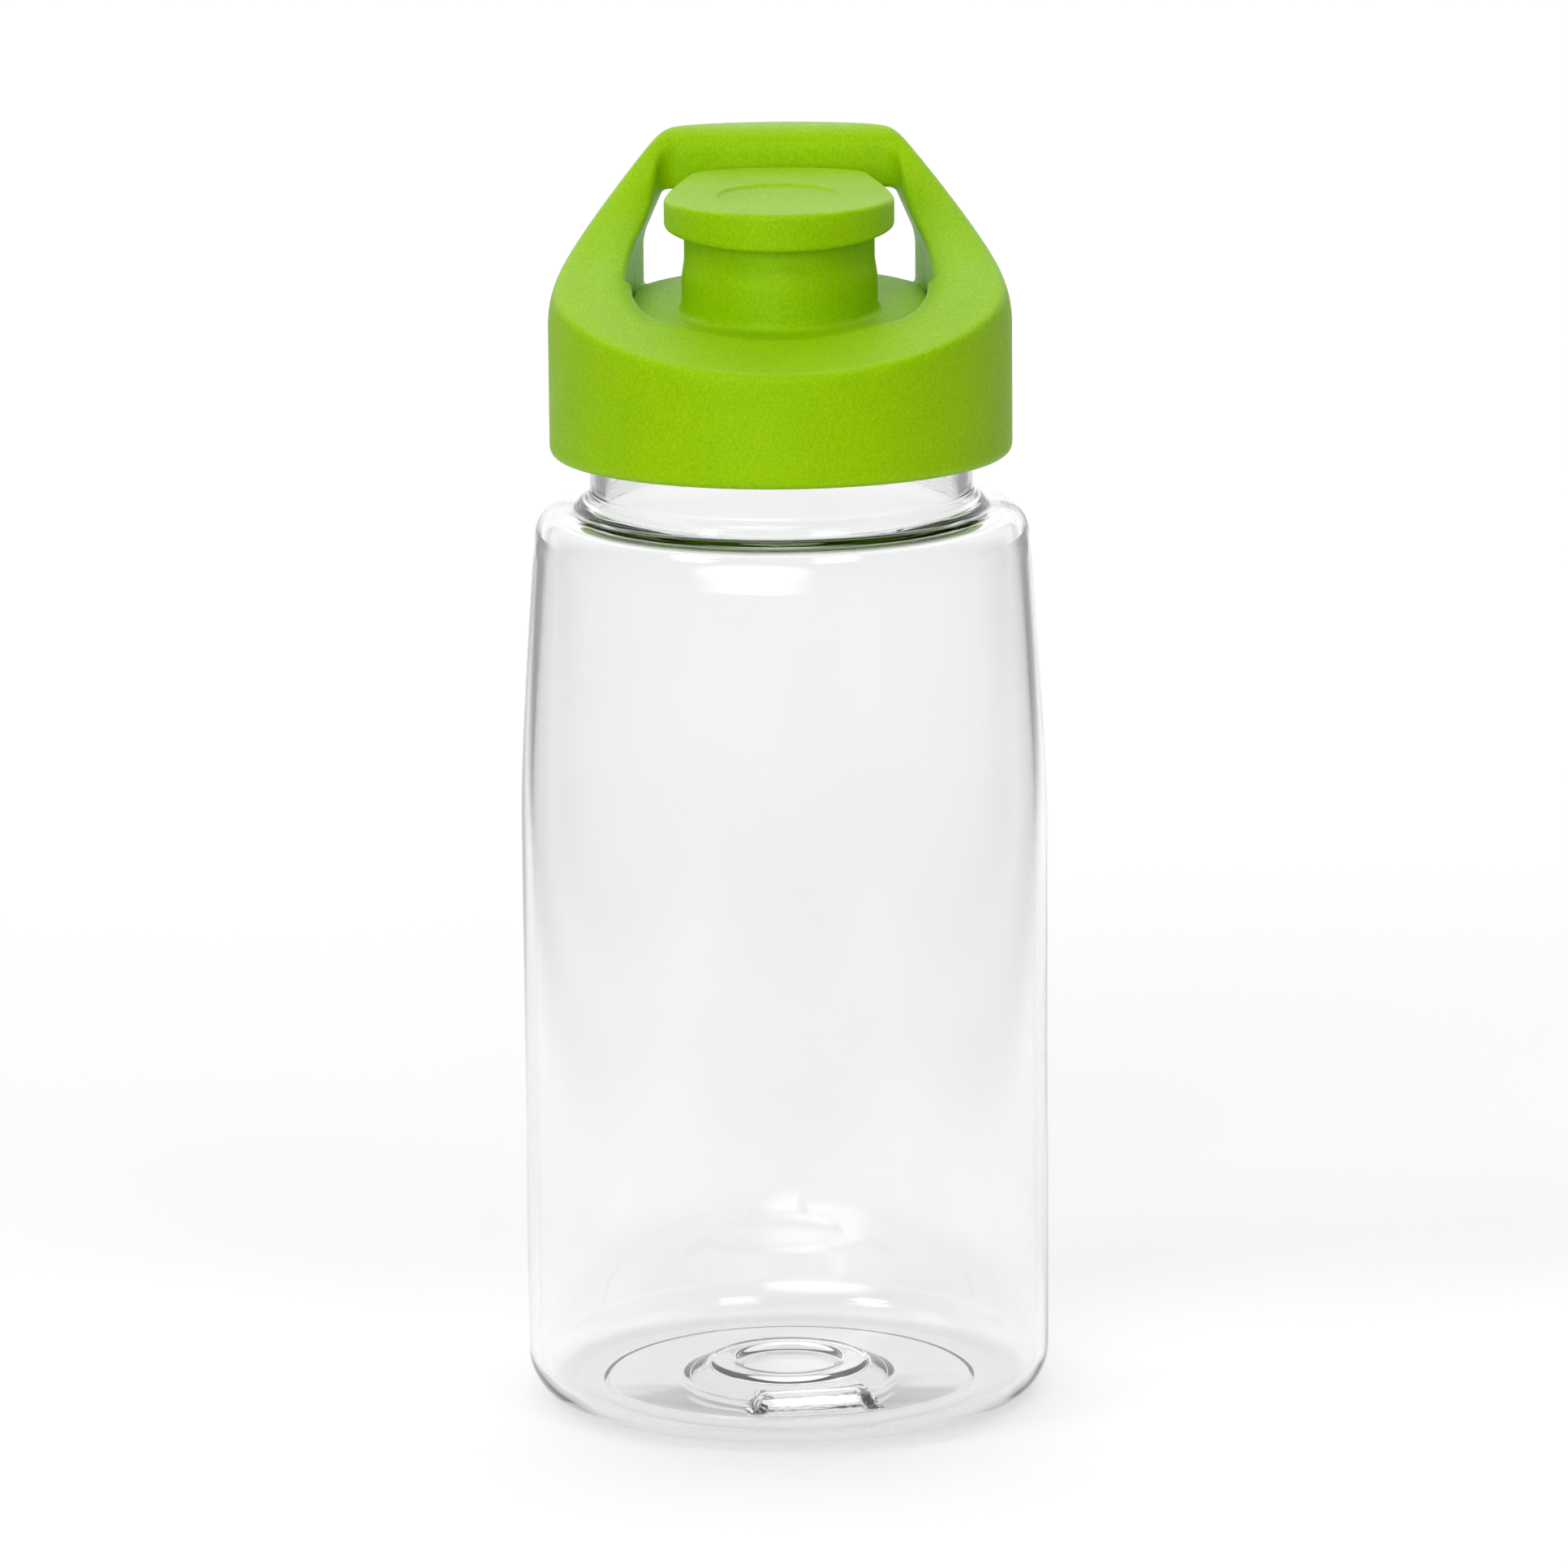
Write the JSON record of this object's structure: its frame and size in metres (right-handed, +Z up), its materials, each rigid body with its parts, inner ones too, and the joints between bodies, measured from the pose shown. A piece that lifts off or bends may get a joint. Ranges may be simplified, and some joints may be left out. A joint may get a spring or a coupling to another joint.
{
  "type": "kids water bottle",
  "caption": "Clear plastic drinking bottle with a green screw lid, a carry handle, a wide spout and a flip-top cover",
  "frame": {"origin": "on the bottle's axis, at the surface it stands on", "axes": "+Z up along the bottle's axis; -Y is the front of the lid, where the cover is lifted; the handle is at +Y"},
  "size_m": [0.0698, 0.0698, 0.1671],
  "materials": {
    "clear_body": "clear gloss",
    "green_lid": "satin moulded",
    "silicone": "translucent matt",
    "pin_steel": "drawn wire"
  },
  "bodies": {
    "bottle": {"bottle_body": "clear_body"},
    "neck_seal": {"lid_gasket": "silicone"},
    "lid": {"lid_shell": "green_lid", "lid_liner": "green_lid", "hinge_pin": "pin_steel"},
    "cover": {"flip_cover": "green_lid", "cover_seal": "silicone"}
  },
  "joints": [
    {"name": "lid_rise", "type": "slide", "parent": "bottle", "child": "neck_seal", "axis": [0, 0, 1], "range_m": [0, 0.01201]},
    {"name": "lid_turn", "type": "hinge", "parent": "neck_seal", "child": "lid", "pos_m": [0, 0, 0.1387], "axis": [0, 0, 1], "range_deg": [0, 720]},
    {"name": "cover_flip", "type": "hinge", "parent": "lid", "child": "cover", "pos_m": [0, 0.0164, 0.1582], "axis": [-1, 0, 0], "range_deg": [0, 100]}
  ],
  "couplings": [
    {"joint": "lid_rise", "follows": "lid_turn", "m_per_rad": 0.00095493}
  ]
}
